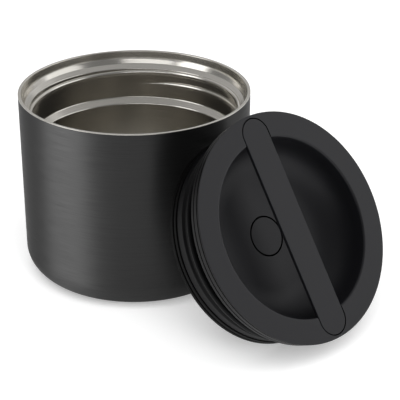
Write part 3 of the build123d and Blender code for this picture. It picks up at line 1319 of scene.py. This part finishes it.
@dataclass
class Studio:
    """White table, pale surroundings, soft lamps and the camera.

    Attributes:
        lens: Focal length of the camera, in millimetres.
        sensor: Width of its sensor, in millimetres.
        stand: Where it stands, in metres.
        heading: Where it looks, in degrees from +Y towards +X.
        pitch: How far it looks down, in degrees.
        floor_size: Side of the table, in metres.
        middle: The point that the lamps face.
        lamps: The lamps.
        pale_rise: Elevation of the pale part of the room, in degrees.
        pale_side: Strength of the pale part.
        dim_side: Strength of the part across from it.
        pale_span: Cosines of the angle to the pale part between which the strength changes.
        white_span: Sines of the elevation between which the white horizon ends.
        table_white: Colour of the table as it is seen.
        table_glow: Strength of the table's own light as it is seen.
        table_bounce: Colour of the table for the light that it throws back.
    """

    lens: float = 140.54
    sensor: float = 36.0
    stand: tuple[float, float, float] = (-0.4919, -0.5459, 0.3830)
    heading: float = 44.60
    pitch: float = 25.38
    floor_size: float = 24.0
    middle: tuple[float, float, float] = (0.0, -0.06, 0.05)
    lamps: tuple[Softbox, ...] = (
        Softbox("left softbox", 295.0, 22.0, 1.4, 1.2, 1.2, 36.0, Reach.SHELL),
        Softbox("right front softbox", 136.0, 26.0, 1.4, 1.1, 0.9, 3.3),
        Softbox("right softbox", 105.0, 25.0, 1.4, 0.7, 1.0, 0.8),
        Softbox("back softbox", 45.0, 40.0, 1.5, 1.6, 0.7, 1.2),
        Softbox("mouth softbox", 293.0, 22.0, 1.4, 0.75, 1.2, 6.0, Reach.MOUTH),
        Softbox("mouth strip", 240.0, 31.0, 1.4, 1.3, 0.35, 2.4, Reach.MOUTH),
        Softbox("table light", 225.0, 50.0, 12.0, 10.5, 10.5, 1500.0, Reach.TABLE),
    )
    pale_rise: float = 50.0
    pale_side: float = 0.5
    dim_side: float = 0.23
    pale_span: Point = (0.25, 0.85)
    white_span: Point = (0.06, 0.16)
    table_white: str = "e8e8e8"
    table_glow: float = 0.35
    table_bounce: str = "606060"

    def camera(self) -> None:
        """Stand the camera where the jar and the lid are seen from the front left."""
        data = bpy.data.cameras.new("camera")
        data.lens = self.lens
        data.sensor_fit = "HORIZONTAL"
        data.sensor_width = self.sensor
        camera = bpy.data.objects.new("camera", data)
        camera.location = self.stand
        camera.rotation_euler = (math.radians(90 - self.pitch), 0.0, math.radians(-self.heading))
        bpy.context.scene.collection.objects.link(camera)
        bpy.context.scene.camera = camera

    def world(self) -> None:
        """Make the room white at the horizon, pale behind and above and dim in front."""
        world = bpy.data.worlds.new("studio")
        bpy.context.scene.world = world
        tree = blank_tree(world)
        place = add_node(tree, "ShaderNodeTexCoord").outputs["Generated"]
        pale = towards(self.heading, self.pale_rise)
        side = add_node(tree, "ShaderNodeVectorMath", {0: place, 1: pale}, operation="DOT_PRODUCT")
        level = add_node(
            tree, "ShaderNodeMapRange", {
                "Value": side, "From Min": self.pale_span[0], "From Max": self.pale_span[1],
                "To Min": self.dim_side, "To Max": self.pale_side,
            }, interpolation_type="SMOOTHSTEP"
        )
        part = add_node(tree, "ShaderNodeSeparateXYZ", {"Vector": place})
        rise = add_node(tree, "ShaderNodeMath", {0: part.outputs["Z"]}, operation="ABSOLUTE")
        wall = add_node(
            tree, "ShaderNodeMapRange", {
                "Value": rise, "From Min": self.white_span[0], "From Max": self.white_span[1],
                "To Min": 1.0, "To Max": 0.0,
            }, interpolation_type="SMOOTHSTEP"
        )
        seen = add_node(tree, "ShaderNodeMath", {0: level, 1: wall}, operation="MAXIMUM")
        glow = add_node(tree, "ShaderNodeBackground", {"Color": linear("ffffff"), "Strength": seen})
        add_node(tree, "ShaderNodeOutputWorld", {"Surface": glow})

    def floor(self) -> None:
        """Lay a white table that keeps the object's soft shadow."""
        half = self.floor_size / 2
        mesh = bpy.data.meshes.new("table")
        corners = [(-half, -half, 0), (half, -half, 0), (half, half, 0), (-half, half, 0)]
        mesh.from_pydata(corners, [], [(0, 1, 2, 3)])
        table = new_object("table", mesh)
        material = bpy.data.materials.new("white table")
        tree = blank_tree(material)
        path = add_node(tree, "ShaderNodeLightPath").outputs
        seen = path["Is Camera Ray"]
        for ray in ("Is Glossy Ray", "Is Transmission Ray"):
            either = add_node(tree, "ShaderNodeMath", {0: seen, 1: path[ray]}, operation="MAXIMUM")
            seen = either
        matte = add_node(tree, "ShaderNodeBsdfDiffuse", {"Color": linear(self.table_white)})
        dull = add_node(tree, "ShaderNodeBsdfDiffuse", {"Color": linear(self.table_bounce)})
        glow = add_node(
            tree, "ShaderNodeEmission", {"Color": linear("ffffff"), "Strength": self.table_glow}
        )
        both = add_node(tree, "ShaderNodeAddShader", {0: matte, 1: glow})
        chosen = add_node(tree, "ShaderNodeMixShader", {0: seen, 1: dull, 2: both})
        add_node(tree, "ShaderNodeOutputMaterial", {"Surface": chosen})
        mesh.materials.append(material)

    def set_up(self) -> None:
        """Build the whole studio."""
        self.camera()
        self.world()
        self.floor()
        for lamp in self.lamps:
            lamp.light(Vector(self.middle))
        bpy.context.scene.view_settings.view_transform = "Standard"


# --- CAD nodes
NODE_FINISHES: dict[str, Finish] = {
    "heat_shield": BRIGHT_FOIL,
    "outer_base": SPUN_STEEL,
    "vacuum_seal": DULL_SOLDER,
    "base_cap": COATED_STEEL,
    "getter": GETTER_STRIP,
    "lid_base": CHARCOAL_LID,
    "lid_foam": LID_FOAM,
    "vent_oring": BLACK_SILICONE,
    "vent_stem": SPRING_STEEL,
    "vent_seal": BLACK_SILICONE,
    "vent_retainer": SPRING_STEEL,
    "vent_guide": BLACK_ACETAL,
    "vent_spring": SPRING_STEEL,
    "outer_shell": COATED_STEEL,
    "inner_liner": SPUN_STEEL,
    "lid_top": CHARCOAL_LID,
    "handle_bar": CHARCOAL_LID,
    "lid_plug": SHADED_PLUG_PLASTIC,
    "lid_gasket": BLACK_SILICONE,
    "vent_button": CHARCOAL_LID,
}


def dress_nodes(nodes: dict[str, Object]) -> None:
    """Give every CAD node the finish of what it is made of.

    Args:
        nodes: CAD node names to their objects.
    """
    for name, finish in NODE_FINISHES.items():
        nodes[name].data.materials.clear()
        nodes[name].data.materials.append(finish.build())


def lid_place(joints: list[dict], depth: float) -> Matrix:
    """Find where the lid's own frame stands.

    Args:
        joints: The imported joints, of which lid_lift runs along the lid's axis.
        depth: Depth of the middle of the seal below the lid's top face, in millimetres.

    Returns:
        The matrix from the lid's own frame to the row frame, in metres.
    """
    lift = next(j for j in joints if j["name"] == "lid_lift")
    axis = Vector(lift["axis"])
    low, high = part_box("lid_gasket")
    centre = (low + high) / 2 + axis * depth * MM
    tilt = math.atan2(-axis.y, axis.z)
    return Matrix.Translation(centre) @ Matrix.Rotation(tilt, 4, "X")


def main() -> None:
    """Build every piece and the studio."""
    logging.basicConfig(level=logging.INFO, format="%(message)s")
    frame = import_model()
    place = lid_place(frame["joints"], Lid.plug_depth - Lid.seal_height / 2)
    LOG.info("lid stands at %s", [round(v / MM, 2) for v in place.translation])
    dress_nodes(frame["nodes"])
    shop = Workshop(place)
    jar, lid, vent = Jar(shop), Lid(shop), Vent(shop)
    for make in (
        jar.shell, jar.liner, jar.thread, lid.top, lid.bar, lid.plug, lid.thread, lid.gasket,
        vent.button, vent.spring,
    ):
        make()
    Studio().set_up()


if __name__ == "__main__":
    main()
